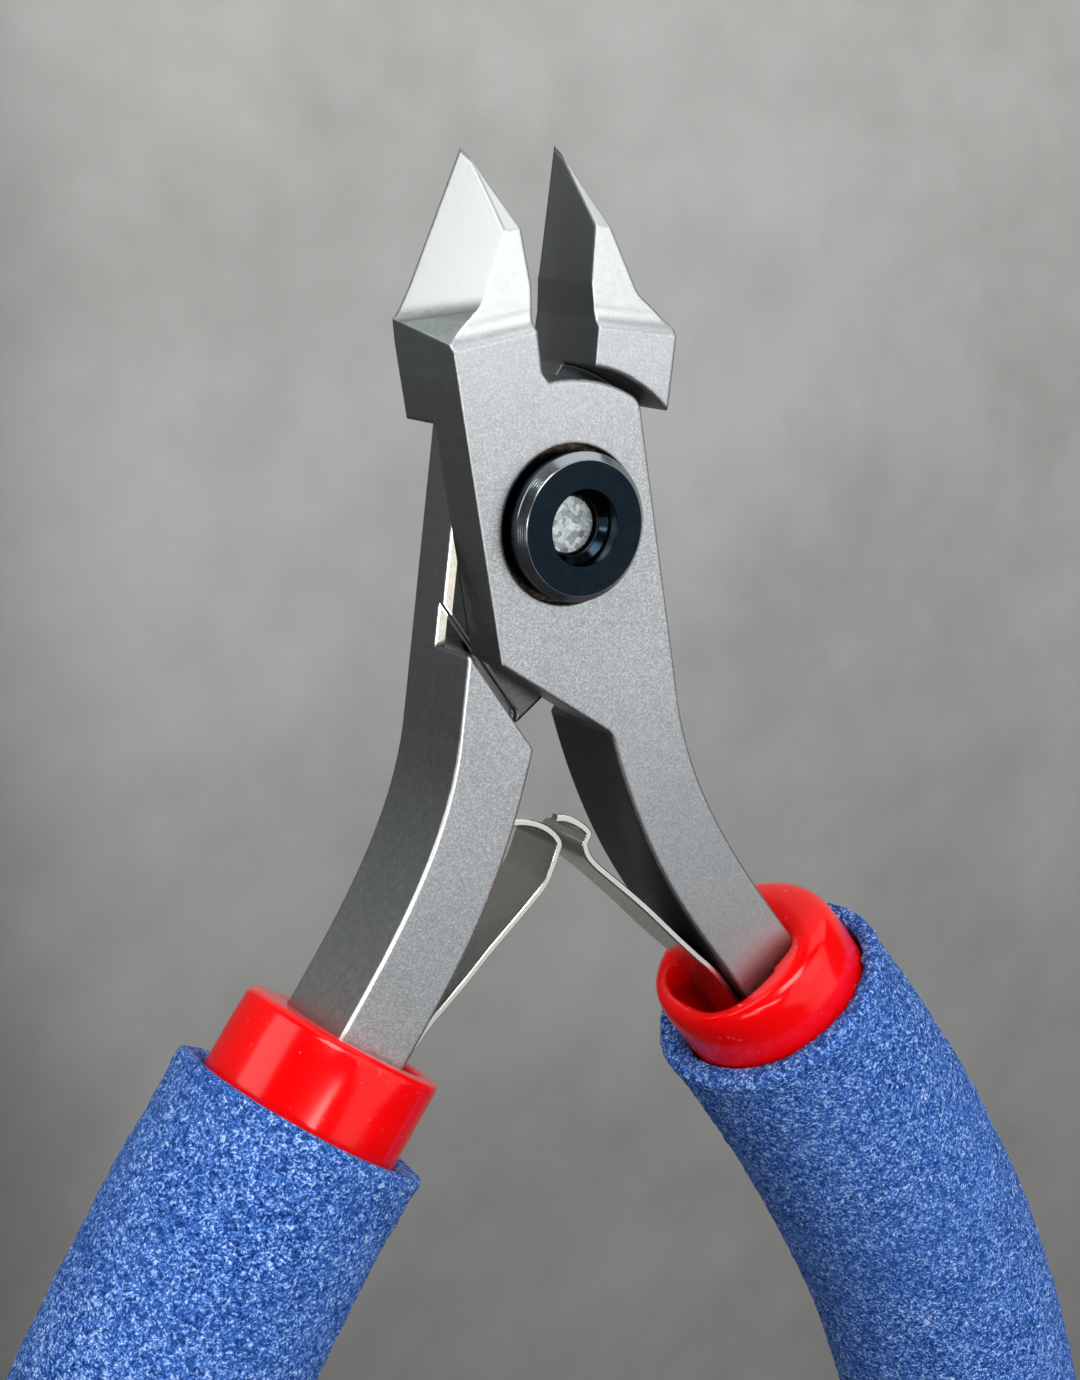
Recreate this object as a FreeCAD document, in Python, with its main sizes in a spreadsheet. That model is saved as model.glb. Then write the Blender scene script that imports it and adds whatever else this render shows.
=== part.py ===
import FreeCAD, Part
import math
import os

# Flush cutter: two lap-jointed steel halves that turn on a hollow pivot barrel, with a leaf
# spring, a dipped inner grip and a foam sleeve on each handle.
# Frame: origin on the pivot axis, in the flat front face of the pivot button. +Z points out
# of that face, +Y to the jaw tips, +X to the front half's handle. Each half is drawn closed
# and about the middle of the steel, then set back behind the button's face and turned by
# half the opening angle, because the cutter is stored open.

V = FreeCAD.Vector
document = FreeCAD.newDocument("flush_cutter")

SIZES = (
    ("opening_angle", 17.0, "degrees between stored open and closed"),
    ("steel_thickness", 7.1, "front face to rear face of jaws and handles"),
    ("lap_gap", 0.02, "running gap between the two joint plates"),
    ("jaw_gap", 0.02, "gap left between the cutting edges when closed"),
    ("head_half_width", 6.06, "pivot to the side of the head"),
    ("tip_reach", 22.25, "pivot to the jaw tip"),
    ("kink_reach", 17.5, "pivot to the start of the tip bevel"),
    ("ridge_reach", 11.7, "pivot to the ridge where the jaw is relieved"),
    ("relief_depth", 0.9, "front relief of the jaw at the kink"),
    ("tip_back", 0.77, "rear of the tip ahead of the rear face"),
    ("tip_thickness", 0.17, "steel left at the point of the tip"),
    ("bevel_lean", 16.5, "degrees the outer bevel leans inwards"),
    ("bevel_skew", 16.0, "degrees the run-out of the bevel climbs towards the tip"),
    ("plate_radius", 8.62, "top of a joint plate about the pivot"),
    ("shoulder_radius", 9.41, "concave shoulder that clears the other plate"),
    ("lap_relief_depth", 0.5, "channel along the foot of the step, below the lap face"),
    ("lap_relief_width", 1.7, "width of that channel"),
    ("edge_round", 0.2, "rounded long edges of plate and handle"),
    ("handle_reach", 118.0, "pivot to the lower end of the grips, closed"),
    ("handle_bow", 26.9, "largest distance of a grip's centre line from the middle, closed"),
    ("bar_half_width", 2.55, "half width of the steel handle"),
    ("tang_end_half_width", 1.8, "half width of the tang inside the grip's end"),
    ("tang_share", 0.86, "tang end as a share of the handle's reach"),
    ("barrel_radius", 3.0, "bearing barrel"),
    ("barrel_fit", 0.03, "radial running clearance of the barrel in the rear half"),
    ("seat_fit", 0.01, "radial clearance of fixed pieces in their seats"),
    ("button_radius", 4.5, "head of the barrel"),
    ("button_rise", 1.53, "head of the barrel above the steel"),
    ("button_chamfer", 0.45, "chamfer round the head"),
    ("counterbore_radius", 4.83, "recess round the head in each half"),
    ("counterbore_depth", 1.2, "depth of that recess"),
    ("washer_radius", 4.75, "thrust washer"),
    ("washer_thickness", 0.5, "thrust washer"),
    ("mouth_radius", 2.3, "mouth of the barrel's bore"),
    ("mouth_depth", 1.0, "depth of the mouth"),
    ("screw_radius", 1.84, "shank of the pivot screw"),
    ("screw_end_height", 3.28, "front end of the screw above the middle plane"),
    ("screw_head_radius", 4.4, "head of the screw at the rear"),
    ("screw_head_sink", 0.05, "head of the screw inside the rear face"),
    ("slot_width", 1.0, "driver slot"),
    ("slot_depth", 0.4, "driver slot"),
    ("leaf_thickness", 0.45, "spring strip"),
    ("leaf_width", 4.8, "spring strip"),
    ("leaf_root_length", 9.0, "spring strip held along the tang"),
    ("leaf_seat", 0.08, "gap between the spring's root and the tang or rivet"),
    ("rivet_radius", 0.8, "rivet that holds the spring"),
    ("rivet_depth", 3.6, "rivet shank, spring and tang together"),
    ("rivet_head_radius", 1.5, "rivet head"),
    ("rivet_head_height", 0.45, "rivet head"),
    ("grip_radius", 6.5, "dipped inner grip"),
    ("right_grip_mouth", 33.0, "pivot to the mouth of the right inner grip, closed"),
    ("left_grip_mouth", 32.4, "pivot to the mouth of the left inner grip, closed"),
    ("root_top", 34.2, "pivot to where the springs leave the handles, closed"),
    ("grip_lip", 0.8, "rounded lip of the inner grip"),
    ("grip_end_round", 3.2, "rounded lower end of the inner grip"),
    ("pocket_width", 2.3, "pocket beside the tang for the spring's root"),
    ("pocket_height", 5.8, "pocket beside the tang for the spring's root"),
    ("pocket_depth", 14.0, "pocket beside the tang for the spring's root"),
    ("funnel_radius", 5.1, "dished mouth of the inner grip"),
    ("funnel_floor_radius", 4.3, "dished mouth of the inner grip"),
    ("funnel_depth", 1.1, "dished mouth of the inner grip"),
    ("right_sleeve_radius", 8.8, "right foam sleeve"),
    ("left_sleeve_radius", 8.4, "left foam sleeve"),
    ("sleeve_top", 36.8, "pivot to the upper end of the foam sleeves, closed"),
    ("sleeve_gap", 0.1, "between the foam sleeve and the inner grip"),
    ("sleeve_end", 115.5, "pivot to the lower end of the foam sleeve, closed"),
)

sheet = document.addObject("Spreadsheet::Sheet", "Sizes")
for row, (alias, value, note) in enumerate(SIZES, start=1):
    sheet.set("A%d" % row, alias)
    sheet.set("B%d" % row, str(value))
    sheet.set("C%d" % row, note)
    sheet.setAlias("B%d" % row, alias)
document.recompute()


def size(name):
    return float(sheet.get(name))


THICK = size("steel_thickness")
HALF = THICK / 2
HEAD = size("head_half_width")
BAR = size("bar_half_width")
REACH = size("handle_reach")
BUTTON_FACE = HALF + size("button_rise")
# The step that a joint plate ends against: its inner corner and its slope when closed.
STEP_CORNER = (0.84, -13.73)
STEP_SLOPE = 1.098
BEND_START = -13.0
HANDLE_TOP = 17.5
FAR = 30.0
# Outer bevel of a jaw: where it starts on the rear edge, the way it heads in the plane of the
# head, and its hollow run-out as distance along the bevel and height above it.
BEVEL_FOOT = (5.87, 13.48)
BEVEL_HEADING = math.radians(33.05)
RUN_OUT = ((0.4, 0), (-0.25, 0.06), (-0.8, 0.3), (-5.0, 2.2))

# Centre line of a handle when closed, as shares of the bow and of the reach.
SPINE = (
    (0.167, 0.169), (0.253, 0.220), (0.379, 0.277), (0.431, 0.299), (0.617, 0.381),
    (0.777, 0.466), (0.896, 0.551), (0.967, 0.636), (1.000, 0.720), (0.996, 0.805),
    (0.959, 0.890), (0.903, 0.964), (0.870, 1.000),
)
# Springs when closed, from where they leave the tang to their hooked ends. The right one
# hooks over the nose of the left one.
RIGHT_LEAF = (
    (7.02, -32.85), (5.70, -31.08), (4.35, -29.25), (2.40, -26.50), (0.75, -24.35),
    (-0.25, -23.10), (-0.90, -22.25), (-1.36, -21.30), (-1.52, -20.40), (-1.62, -19.60),
    (-2.05, -18.80), (-2.80, -18.00), (-3.85, -17.45),
)
LEFT_LEAF = (
    (5.75, -31.45), (4.30, -29.75), (3.02, -28.30), (1.80, -26.80), (0.34, -25.15),
    (-0.72, -23.95), (-1.82, -22.60), (-2.22, -21.55), (-2.43, -20.40), (-2.30, -19.65),
    (-1.62, -19.02), (-0.60, -18.62), (0.30, -18.48),
)


class Outline:
    """A closed outline drawn point to point; side -1 mirrors it left to right."""

    def __init__(self, side, x, y):
        self.side = side
        self.edges = []
        self.start = V(side * x, y, 0)
        self.here = self.start

    def point(self, pair):
        return V(self.side * pair[0], pair[1], 0)

    def line(self, x, y):
        end = self.point((x, y))
        self.edges.append(Part.LineSegment(self.here, end))
        self.here = end
        return self

    def arc(self, through, x, y):
        end = self.point((x, y))
        self.edges.append(Part.Arc(self.here, self.point(through), end))
        self.here = end
        return self

    def curve(self, pairs):
        points = [self.here] + [self.point(pair) for pair in pairs]
        spline = Part.BSplineCurve()
        spline.interpolate(points)
        self.edges.append(spline)
        self.here = points[-1]
        return self

    def close(self):
        self.edges.append(Part.LineSegment(self.here, self.start))
        return self.edges


def new_body(label):
    body = document.addObject("PartDesign::Body", label)
    body.Label = label
    return body


def draw(body, plane, edges, offset=None):
    sketch = body.newObject("Sketcher::SketchObject", "Sketch")
    support = next(f for f in body.Origin.OriginFeatures if f.Role == plane)
    sketch.AttachmentSupport = [(support, "")]
    sketch.MapMode = "FlatFace"
    if offset is not None:
        sketch.AttachmentOffset = offset
    for edge in edges:
        sketch.addGeometry(edge, False)
    return sketch


def raised(height):
    return FreeCAD.Placement(V(0, 0, height), FreeCAD.Rotation())


def pad(body, sketch, length, both_ways=False):
    feature = body.newObject("PartDesign::Pad", "Pad")
    feature.Profile = sketch
    feature.Length = length
    if both_ways:
        feature.SideType = "Symmetric"
    return feature


def pocket(body, sketch, length, along_normal=False, both_ways=False):
    feature = body.newObject("PartDesign::Pocket", "Pocket")
    feature.Profile = sketch
    feature.Length = length
    feature.Reversed = along_normal
    if both_ways:
        feature.SideType = "Symmetric"
    return feature


def ring(radius):
    return [Part.Circle(V(0, 0, 0), V(0, 0, 1), radius)]


def make_spine():
    middle = HEAD - BAR
    points = [V(middle, BEND_START + 3, 0), V(middle, BEND_START, 0)]
    for across, down in SPINE:
        points.append(V(across * size("handle_bow"), -down * REACH, 0))
    curve = Part.BSplineCurve()
    curve.interpolate(points)
    return curve


SPINE_CURVE = make_spine()


def spine_at(height):
    """Point and downward direction of the centre line at a height below the pivot."""
    low, high = SPINE_CURVE.FirstParameter, SPINE_CURVE.LastParameter
    for _ in range(60):
        middle = (low + high) / 2
        if SPINE_CURVE.value(middle).y > -height:
            low = middle
        else:
            high = middle
    direction = SPINE_CURVE.tangent(low)[0]
    return SPINE_CURVE.value(low), direction


def bar_width(height):
    """Half width of the steel at a height below the pivot."""
    start = size("root_top")
    end = size("tang_share") * REACH
    share = min(max((height - start) / (end - start), 0.0), 1.0)
    return BAR + share * (size("tang_end_half_width") - BAR)


def bar_edge(height, across):
    """Point beside the centre line: across is 1 on the outer edge and -1 on the inner one."""
    point, direction = spine_at(height)
    outward = V(-direction.y, direction.x, 0)
    moved = point + outward * across * bar_width(height)
    return moved.x, moved.y


def bar_heights(first, last, count):
    return [first + (last - first) * i / (count - 1) for i in range(count)]


def round_edges(body):
    """Round the long side edges of the outer faces, from the shoulder down to the grip."""
    base = body.Tip
    same = 0.001
    shortest = 2.0
    below_jaw = size("ridge_reach") - 1.0
    names = []
    for number, edge in enumerate(base.Shape.Edges, start=1):
        box = edge.BoundBox
        on_face = box.ZLength < same and abs(abs(box.ZMax) - HALF) < same
        slanted_step = box.YMax < -HEAD and box.YMin > STEP_CORNER[1]
        if on_face and box.YMax < below_jaw and edge.Length > shortest and not slanted_step:
            names.append("Edge%d" % number)
    fillet = body.newObject("PartDesign::Fillet", "Round")
    fillet.Base = (base, names)
    fillet.Radius = size("edge_round")


def build_half(label, side):
    """One steel half. Side 1 has its joint plate in front, side -1 behind."""
    body = new_body(label)
    gap = size("lap_gap") / 2
    jaw = size("jaw_gap") / 2
    plate = size("plate_radius")
    tip = size("tip_reach")
    tang_end = size("tang_share") * REACH
    outer = [bar_edge(h, 1) for h in bar_heights(HANDLE_TOP, tang_end, 12)]
    inner = [bar_edge(h, -1) for h in bar_heights(tang_end, HANDLE_TOP - 1.5, 12)]

    corner = math.radians(50)
    outline = Outline(side, -jaw, tip)
    outline.line(-jaw, 14.2)
    outline.line(-0.4, 12.2)
    outline.line(-0.5, plate + 0.7)
    outline.line(-0.11, math.sqrt(plate ** 2 - 0.11 ** 2))
    outline.arc((plate * math.sin(math.radians(20)), plate * math.cos(math.radians(20))),
                plate * math.cos(corner), plate * math.sin(corner))
    outline.arc((HEAD - 0.13, 6.12), HEAD, 5.55)
    outline.line(HEAD, BEND_START)
    outline.curve(outer)
    outline.line(*inner[0])
    outline.curve(inner[1:] + [STEP_CORNER])
    outline.line(0.69, -13.41)
    outline.line(-HEAD, -7.05)
    outline.line(-HEAD, tip)
    pad(body, draw(body, "XY_Plane", outline.close()), THICK, both_ways=True)

    # Room for the other half's joint plate, up to the shoulder and down to the step.
    shoulder = size("shoulder_radius")
    reach = shoulder * math.sqrt(0.5)
    room = Outline(side, -reach, reach)
    room.arc((0, shoulder), reach, reach)
    room.line(FAR, reach)
    room.line(FAR, STEP_CORNER[1] + STEP_SLOPE * (FAR - STEP_CORNER[0]))
    room.line(0, STEP_CORNER[1] - STEP_SLOPE * STEP_CORNER[0])
    room.line(-FAR, STEP_CORNER[1] - STEP_SLOPE * STEP_CORNER[0])
    room.line(-FAR, reach)
    lap = draw(body, "XY_Plane", room.close(), raised(side * gap))
    pocket(body, lap, THICK, along_normal=side < 0)

    # Channel along the foot of the step, so that the other plate's corner runs clear.
    up = size("lap_relief_width") * math.sqrt(1 + STEP_SLOPE ** 2)
    foot = STEP_CORNER[1] - STEP_SLOPE * STEP_CORNER[0]
    channel = Outline(side, 0, foot)
    channel.line(FAR, foot + STEP_SLOPE * FAR)
    channel.line(FAR, foot + STEP_SLOPE * FAR + up)
    channel.line(0, foot + up)
    groove = draw(body, "XY_Plane", channel.close(),
                  raised(side * (gap + size("lap_relief_depth"))))
    pocket(body, groove, THICK, along_normal=side < 0)

    # Front relief of the jaw, the tip bevel and a shallower relief behind.
    ridge = size("ridge_reach")
    kink = size("kink_reach")
    floor = HALF - size("relief_depth")
    back = -HALF + size("tip_back")
    front = back + size("tip_thickness")
    past = 0.5
    relief = Outline(1, ridge, HALF)
    relief.arc((ridge + 0.35, HALF - 0.34), ridge + 1.3, HALF - 0.55)
    relief.line(kink, floor)
    relief.line(tip + past, front - past * (floor - front) / (tip - kink))
    relief.line(tip + past, HALF + 1)
    relief.line(ridge, HALF + 1)
    pocket(body, draw(body, "YZ_Plane", relief.close()), 2 * FAR, both_ways=True)
    taper = Outline(1, ridge - 1.2, -HALF)
    taper.line(ridge + 3.0, -HALF + 0.6)
    taper.line(tip + past, back)
    taper.line(tip + past, -HALF - 1)
    taper.line(ridge - 1.2, -HALF - 1)
    pocket(body, draw(body, "YZ_Plane", taper.close()), 2 * FAR, both_ways=True)

    # Outer bevel: a plane that leans inwards towards the front and ends in a hollow run-out.
    along = V(side * math.sin(BEVEL_HEADING), math.cos(BEVEL_HEADING), 0)
    outward = V(side * -math.cos(BEVEL_HEADING), math.sin(BEVEL_HEADING), 0)
    lean = math.radians(size("bevel_lean"))
    skew = math.radians(size("bevel_skew"))
    up = V(0, 0, 1)
    rise = up * math.cos(lean) - outward * math.sin(lean)
    across = outward * math.cos(lean) + up * math.sin(lean)
    cut_along = along * math.cos(skew) - rise * math.sin(skew)
    cut_up = rise * math.cos(skew) + along * math.sin(skew)
    foot = V(side * -BEVEL_FOOT[0], BEVEL_FOOT[1], -HALF) - cut_up * 4
    turn = FreeCAD.Rotation(cut_along, across, cut_up * side, "XYZ")
    beyond = 14.0
    bevel = Outline(1, beyond, 0)
    bevel.line(*RUN_OUT[0])
    bevel.arc(RUN_OUT[1], *RUN_OUT[2])
    bevel.line(*RUN_OUT[3])
    bevel.line(RUN_OUT[3][0], beyond)
    bevel.line(beyond, beyond)
    plane = FreeCAD.Placement(foot, turn)
    pocket(body, draw(body, "XY_Plane", bevel.close(), plane), 20, along_normal=side > 0)

    document.recompute()
    round_edges(body)

    # Pivot bore and the recess round the button (front) or the screw head (rear).
    fit = size("seat_fit") if side > 0 else size("barrel_fit")
    bore = draw(body, "XY_Plane", ring(size("barrel_radius") + fit))
    pocket(body, bore, 2 * THICK, both_ways=True)
    recess = draw(body, "XY_Plane", ring(size("counterbore_radius")),
                  raised(side * (HALF - size("counterbore_depth"))))
    pocket(body, recess, THICK, along_normal=side > 0)
    return body


def stored(side):
    """Where a half and all it carries stand when the cutter is stored open."""
    turn = FreeCAD.Rotation(V(0, 0, 1), side * size("opening_angle") / 2)
    return FreeCAD.Placement(V(0, 0, -BUTTON_FACE), turn)


def place(thing, side):
    thing.Placement = stored(side)
    thing.setExpression(".Placement.Rotation.Angle", "%d * Sizes.opening_angle / 2" % side)
    thing.setExpression(".Placement.Base.z", "-Sizes.steel_thickness / 2 - Sizes.button_rise")


def revolve(label, points):
    """A turned piece of the front half: points are radius and height pairs."""
    body = new_body(label)
    outline = Outline(1, *points[0])
    for radius, height in points[1:]:
        outline.line(radius, height)
    sketch = draw(body, "XZ_Plane", outline.close())
    feature = body.newObject("PartDesign::Revolution", "Revolution")
    feature.Profile = sketch
    feature.ReferenceAxis = (sketch, ["V_Axis"])
    feature.Angle = 360.0
    place(body, 1)
    return body


def build_pivot():
    """Barrel with its button, the screw up its bore from behind, and a washer under each."""
    seat = HALF - size("counterbore_depth")
    under = seat + size("washer_thickness")
    top = HALF + size("button_rise")
    chamfer = size("button_chamfer")
    button = size("button_radius")
    mouth_floor = top - size("mouth_depth")
    screw = size("screw_radius")
    fit = size("seat_fit")
    barrel = size("barrel_radius")
    revolve("pivot_barrel", (
        (screw + fit, -under), (barrel, -under), (barrel, under), (button, under),
        (button, top - chamfer - 0.03), (button - chamfer, top), (size("mouth_radius"), top),
        (size("mouth_radius"), mouth_floor), (screw + fit, mouth_floor - 0.3),
    ))
    head = size("screw_head_radius")
    foot = -HALF + size("screw_head_sink")
    body = revolve("pivot_screw", (
        (0, foot), (head - 0.2, foot), (head, foot + 0.2), (head, -under), (screw, -under),
        (screw, size("screw_end_height") - 0.15), (screw - 0.15, size("screw_end_height")),
        (0, size("screw_end_height")),
    ))
    slot = Outline(1, -head - 1, -size("slot_width") / 2)
    slot.line(head + 1, -size("slot_width") / 2)
    slot.line(head + 1, size("slot_width") / 2)
    slot.line(-head - 1, size("slot_width") / 2)
    cut = draw(body, "XY_Plane", slot.close(), raised(foot + size("slot_depth")))
    pocket(body, cut, 2 * size("slot_depth"))
    inner = barrel + size("barrel_fit")
    for label, side in (("front_washer", 1), ("rear_washer", -1)):
        # The rear half turns under its washer, so that one stands a hair off its seat.
        low = seat if side > 0 else seat + size("lap_gap")
        washer = new_body(label)
        edges = ring(size("washer_radius")) + ring(inner)
        start = low if side > 0 else -under
        pad(washer, draw(washer, "XY_Plane", edges, raised(start)), under - low)
        place(washer, 1)


def offset_strip(pairs, half_thickness, count):
    """Outer and inner side of a bent strip whose middle runs through the pairs."""
    curve = Part.BSplineCurve()
    curve.interpolate([V(x, y, 0) for x, y in pairs])
    sides = ([], [])
    for point in curve.discretize(Number=count):
        direction = curve.tangent(curve.parameter(point))[0]
        normal = V(-direction.y, direction.x, 0) * half_thickness
        sides[0].append(((point + normal).x, (point + normal).y))
        sides[1].append(((point - normal).x, (point - normal).y))
    return sides


def root_line(across):
    """Points up the tang from the end of a spring's root to the mouth of the grip."""
    top = size("root_top")
    points = []
    for height in bar_heights(top + size("leaf_root_length"), top, 4):
        point, direction = spine_at(height)
        outward = V(-direction.y, direction.x, 0)
        moved = point - outward * (bar_width(height) + across)
        points.append((moved.x, moved.y))
    return points


def build_leaf(label, side, free_part):
    body = new_body(label)
    half = size("leaf_thickness") / 2
    path = root_line(half + size("leaf_seat")) + list(free_part)
    left, right = offset_strip(path, half, 26)
    outline = Outline(side, *left[0])
    outline.curve(left[1:])
    outline.line(*right[-1])
    outline.curve(right[-2::-1])
    strip = draw(body, "XY_Plane", outline.close())
    pad(body, strip, size("leaf_width"), both_ways=True)
    place(body, side)
    return body


def rivet_seat(across):
    """Middle of the rivet across from the tang's inner side, and the way it points."""
    height = size("root_top") + size("leaf_root_length") * 0.7
    point, direction = spine_at(height)
    outward = V(-direction.y, direction.x, 0)
    return point - outward * (bar_width(height) + across), outward


def build_rivet(label, side):
    """Rivet through the root of a spring into the tang, and the hole it needs in the spring."""
    seat = size("leaf_seat")
    depth = size("rivet_depth")
    start, outward = rivet_seat(size("leaf_thickness") + 2 * seat)
    start = mirrored(start, side)
    outward = mirrored(outward, side)
    shank = cylinder_along(label + "_shank", size("rivet_radius"), depth, start, outward)
    hole = cylinder_along(label + "_hole", size("rivet_radius") + seat, depth, start, outward)
    head_start = start - outward * size("rivet_head_height")
    head = cylinder_along(label + "_head", size("rivet_head_radius"),
                          size("rivet_head_height"), head_start, outward)
    for thing in (shank, hole, head):
        put(thing, side)
    return combine("Fuse", label, head, shank), hole


def cylinder_along(name, radius, length, start, direction):
    thing = document.addObject("Part::Cylinder", name)
    thing.Radius = radius
    thing.Height = length
    thing.Placement = FreeCAD.Placement(start, FreeCAD.Rotation(V(0, 0, 1), direction))
    return thing


def combine(kind, label, base, tool):
    thing = document.addObject("Part::" + kind, label)
    thing.Label = label
    thing.Base = base
    thing.Tool = tool
    return thing


def mirrored(vector, side):
    return V(side * vector.x, vector.y, vector.z)


def put(thing, side):
    """Turn a primitive that was drawn closed into its stored, open place."""
    thing.Placement = stored(side).multiply(thing.Placement)
    return thing


def tube(label, side, radius, first, last, end_round=0, lip=0):
    """A solid round bar that follows a handle's centre line between two heights."""
    body = new_body(label)
    points = [spine_at(h)[0] for h in bar_heights(first, last, 11)]
    path = Outline(side, points[0].x, points[0].y)
    path.curve([(p.x, p.y) for p in points[1:]])
    spine = draw(body, "XY_Plane", path.edges)
    point, direction = spine_at(first)
    point = mirrored(point, side)
    direction = mirrored(direction, side)
    across = direction.cross(V(0, 0, 1))
    turn = FreeCAD.Rotation(across, V(0, 0, 1), across.cross(V(0, 0, 1)), "XYZ")
    profile = draw(body, "XY_Plane", ring(radius), FreeCAD.Placement(point, turn))
    pipe = body.newObject("PartDesign::AdditivePipe", "Pipe")
    pipe.Profile = profile
    pipe.Spine = (spine, ["Edge1"])
    document.recompute()
    for amount, where in ((lip, point), (end_round, mirrored(points[-1], side))):
        if amount:
            round_end(body, amount, where)
    place(body, side)
    return body


def round_end(body, radius, where):
    """Round the circular edge of a tube that lies nearest a point."""
    base = body.Tip
    names = []
    for number, edge in enumerate(base.Shape.Edges, start=1):
        box = edge.BoundBox
        if box.Center.distanceToPoint(where) < 1.0 and edge.isClosed():
            names.append("Edge%d" % number)
    fillet = body.newObject("PartDesign::Fillet", "Round")
    fillet.Base = (base, names)
    fillet.Radius = radius
    document.recompute()


def build_pocket(label, side):
    """Space beside the tang, inside the inner grip, for the root of the spring."""
    body = new_body(label)
    top = size("left_grip_mouth") - 3.0
    low = size("root_top") + size("pocket_depth")
    tang_side = []
    open_side = []
    for height in bar_heights(low, top, 6):
        point, direction = spine_at(height)
        outward = V(-direction.y, direction.x, 0)
        near = point - outward * (bar_width(height) - 0.5)
        wide = point - outward * (bar_width(height) + size("pocket_width"))
        tang_side.append((near.x, near.y))
        open_side.append((wide.x, wide.y))
    outline = Outline(side, *tang_side[0])
    outline.curve(tang_side[1:])
    outline.line(*open_side[-1])
    outline.curve(open_side[-2::-1])
    space = draw(body, "XY_Plane", outline.close())
    pad(body, space, size("pocket_height"), both_ways=True)
    place(body, side)
    return body


def build_handle(name, side, half):
    """Inner grip, foam sleeve, spring and rivet of one handle."""
    mouth = size(name + "_grip_mouth")
    blank = tube(name + "_grip_blank", side, size("grip_radius"), mouth, REACH,
                 size("grip_end_round"), size("grip_lip"))
    space = build_pocket(name + "_pocket", side)
    point, direction = spine_at(mouth)
    start = mirrored(point, side) - mirrored(direction, side) * 0.01
    funnel = document.addObject("Part::Cone", name + "_funnel")
    funnel.Radius1 = size("funnel_radius")
    funnel.Radius2 = size("funnel_floor_radius")
    funnel.Height = size("funnel_depth")
    turn = FreeCAD.Rotation(V(0, 0, 1), mirrored(direction, side))
    funnel.Placement = FreeCAD.Placement(start, turn)
    put(funnel, side)
    tools = document.addObject("Part::MultiFuse", name + "_hollow")
    tools.Shapes = [half, space, funnel]
    combine("Cut", name + "_inner_grip", blank, tools)

    outer = tube(name + "_sleeve_blank", side, size(name + "_sleeve_radius"),
                 size("sleeve_top"), size("sleeve_end"))
    inner = tube(name + "_sleeve_bore", side, size("grip_radius") + size("sleeve_gap"),
                 size("sleeve_top") - 2, size("sleeve_end") + 2)
    combine("Cut", name + "_foam_sleeve", outer, inner)


build_pivot()
for name, half_name, side, leaf_path in (
    ("right", "front_half", 1, RIGHT_LEAF),
    ("left", "rear_half", -1, LEFT_LEAF),
):
    steel = build_half(half_name + "_steel", side)
    place(steel, side)
    strip = build_leaf(name + "_leaf_strip", side, leaf_path)
    rivet, hole = build_rivet(name + "_spring_rivet", side)
    document.recompute()
    combine("Cut", half_name, steel, rivet)
    combine("Cut", name + "_leaf_spring", strip, hole)
    build_handle(name, side, steel)
document.recompute()

PARTS = (
    "front_half", "rear_half", "pivot_barrel", "pivot_screw", "front_washer", "rear_washer",
    "right_leaf_spring", "left_leaf_spring", "right_spring_rivet", "left_spring_rivet",
    "right_inner_grip", "left_inner_grip", "right_foam_sleeve", "left_foam_sleeve",
)

broken = [o.Label for o in document.Objects if "Invalid" in o.State or "Error" in o.State]
if broken:
    raise RuntimeError("features failed: " + ", ".join(broken))
os.makedirs("parts", exist_ok=True)
for label in PARTS:
    found = document.getObjectsByLabel(label)[0]
    shape = found.Shape
    if shape.isNull() or not shape.isValid():
        raise RuntimeError("no valid solid for " + label)
    print(label, len(shape.Solids), round(shape.Volume, 1))
    shape.exportStep("parts/" + label + ".step")
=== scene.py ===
import bpy
import bmesh
import math
from mathutils import Matrix, Vector, noise


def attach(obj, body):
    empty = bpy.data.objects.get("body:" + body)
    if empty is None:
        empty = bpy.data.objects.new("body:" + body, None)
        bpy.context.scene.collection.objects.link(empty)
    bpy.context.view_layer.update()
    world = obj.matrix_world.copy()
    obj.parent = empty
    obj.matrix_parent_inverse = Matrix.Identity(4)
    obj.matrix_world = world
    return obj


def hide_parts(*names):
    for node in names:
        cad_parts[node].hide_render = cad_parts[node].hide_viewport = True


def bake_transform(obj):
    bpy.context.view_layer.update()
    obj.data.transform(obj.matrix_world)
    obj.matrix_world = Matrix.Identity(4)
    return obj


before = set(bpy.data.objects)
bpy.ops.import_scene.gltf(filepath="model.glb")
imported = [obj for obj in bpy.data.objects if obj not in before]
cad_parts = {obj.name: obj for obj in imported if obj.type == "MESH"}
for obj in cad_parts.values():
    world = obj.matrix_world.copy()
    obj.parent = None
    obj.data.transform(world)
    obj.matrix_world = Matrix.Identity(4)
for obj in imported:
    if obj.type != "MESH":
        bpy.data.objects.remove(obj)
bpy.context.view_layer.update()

MM = 0.001
OPEN_HALF = math.radians(8.5)
MIDDLE_Z = -5.08
FLOOR_Z = -0.13


# ---------------------------------------------------------------- camera
def make_camera():
    data = bpy.data.cameras.new("camera")
    data.lens = 56.43
    data.sensor_width = 36.0
    data.clip_start = 0.01
    data.clip_end = 20.0
    camera = bpy.data.objects.new("camera", data)
    turn = Matrix((
        (0.84390, 0.14488, -0.51657),
        (-0.01576, 0.96912, 0.24607),
        (0.53627, -0.19951, 0.82013),
    ))
    camera.matrix_world = Matrix.Translation((-0.069292, 0.022136, 0.104731)) @ turn.to_4x4()
    bpy.context.scene.collection.objects.link(camera)
    bpy.context.scene.camera = camera


make_camera()
bpy.context.scene.view_settings.view_transform = "Standard"


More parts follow.
